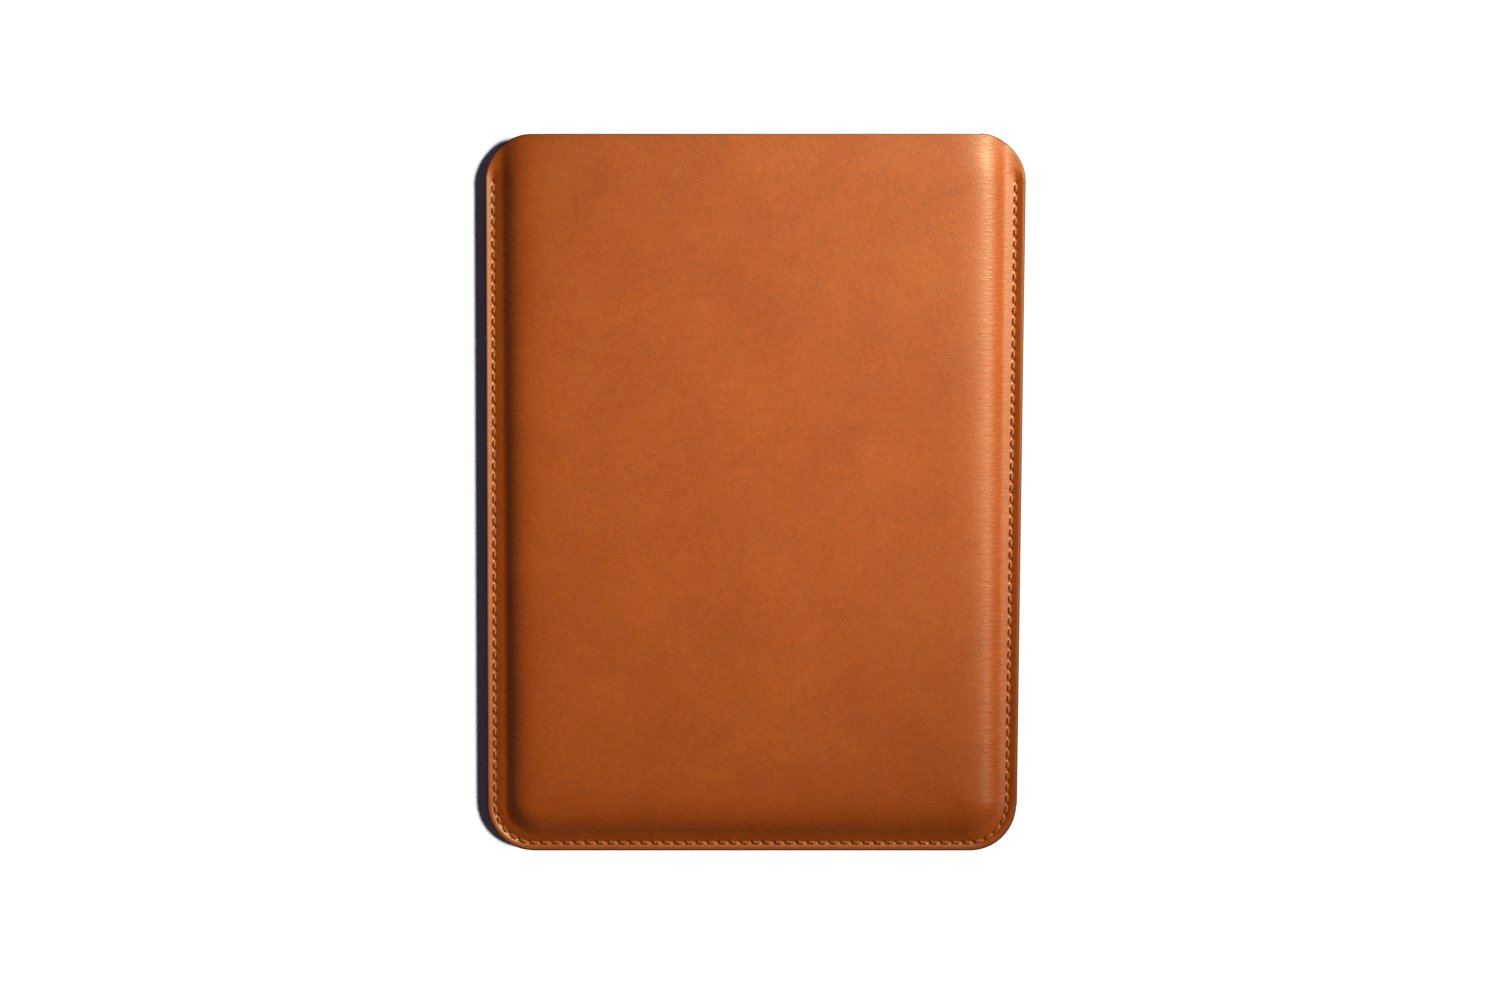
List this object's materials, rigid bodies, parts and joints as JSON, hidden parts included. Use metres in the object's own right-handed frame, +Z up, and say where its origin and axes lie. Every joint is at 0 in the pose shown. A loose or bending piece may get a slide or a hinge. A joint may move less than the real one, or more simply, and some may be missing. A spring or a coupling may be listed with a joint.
{
  "type": "e-reader",
  "caption": "Thin touch-screen e-reader with a front-lit paper-like display, stored in a stitched leather slip sleeve that is open at one end.",
  "frame": {"origin": "middle of the sleeve's footprint, on the surface that it lies on", "axes": "+X across the sleeve, +Y along it towards the open mouth and the reader's charging end, +Z up, the way the reader's screen faces"},
  "size_m": [0.145, 0.191, 0.0134],
  "materials": {
    "leather": "waxed full-grain, cognac tan",
    "felt": "pressed wool felt, taupe",
    "thread": "waxed polyester sewing thread, brown",
    "housing": "fine soft-touch texture, black",
    "key_cap": "satin, black",
    "lens_glass": "anti-glare etched",
    "mask_ink": "screen-printed, black",
    "gasket": "acrylic foam",
    "touch_glass": "polished film",
    "adhesive": "clear optical adhesive",
    "light_guide": "clear, dotted underside",
    "paper_film": "paper-white display film",
    "backplane": "thin-film transistor glass",
    "chip": "moulded epoxy package",
    "lamp": "phosphor-coated lamp",
    "tape": "double-sided foam tape",
    "flex": "amber polyimide flex circuit",
    "cast_frame": "die-cast, bead-blasted",
    "screw_steel": "black-nickel plated",
    "board": "glass-epoxy laminate with solder mask",
    "shield": "tin-plated, pressed",
    "ceramic_part": "small ceramic parts",
    "connector": "moulded nylon",
    "cell_pouch": "laminated aluminium pouch",
    "wire": "silicone-insulated wires",
    "pull_tape": "stretch-release adhesive",
    "port_steel": "nickel-plated, drawn",
    "contact": "gold-plated",
    "seal": "silicone",
    "clear": "clear acrylic"
  },
  "bodies": {
    "sleeve": {"front_panel": "leather", "back_panel": "leather", "front_lining": "felt", "back_lining": "felt", "front_stitching": "thread", "back_stitching": "thread"},
    "reader": {"rear_cover": "housing", "lens_gasket": "gasket", "cover_lens": "lens_glass", "bezel_mask": "mask_ink", "touch_sensor": "touch_glass", "upper_adhesive": "adhesive", "light_guide": "light_guide", "lower_adhesive": "adhesive", "led_strip": "flex", "front_light_leds": "lamp", "eink_film": "paper_film", "display_backplane": "backplane", "display_driver": "chip", "display_tape": "tape", "display_flex": "flex", "touch_flex": "flex", "mid_frame": "cast_frame", "frame_screws": "screw_steel", "main_board": "board", "board_screws": "screw_steel", "processor": "chip", "memory_chips": "chip", "power_chip": "chip", "shield_frame": "shield", "shield_lid": "shield", "wireless_module": "shield", "board_passives": "ceramic_part", "board_connectors": "connector", "hall_sensor": "chip", "antenna_flex": "flex", "battery_cell": "cell_pouch", "battery_board": "board", "battery_lead": "wire", "battery_tape": "pull_tape", "usb_shell": "port_steel", "usb_insulator": "chip", "usb_contacts": "contact", "usb_seal": "seal", "power_switch": "chip", "status_led": "lamp", "light_pipe": "clear"},
    "power_button": {"power_button": "key_cap"}
  },
  "joints": [
    {"name": "reader_slide", "type": "slide", "parent": "sleeve", "child": "reader", "axis": [0, 1, 0], "range_m": [0, 0.185]},
    {"name": "power_button_press", "type": "slide", "parent": "reader", "child": "power_button", "axis": [0, -1, 0], "range_m": [0, 0.0003], "stiffness_N_per_m": 1500, "springref_m": -0.0006}
  ]
}
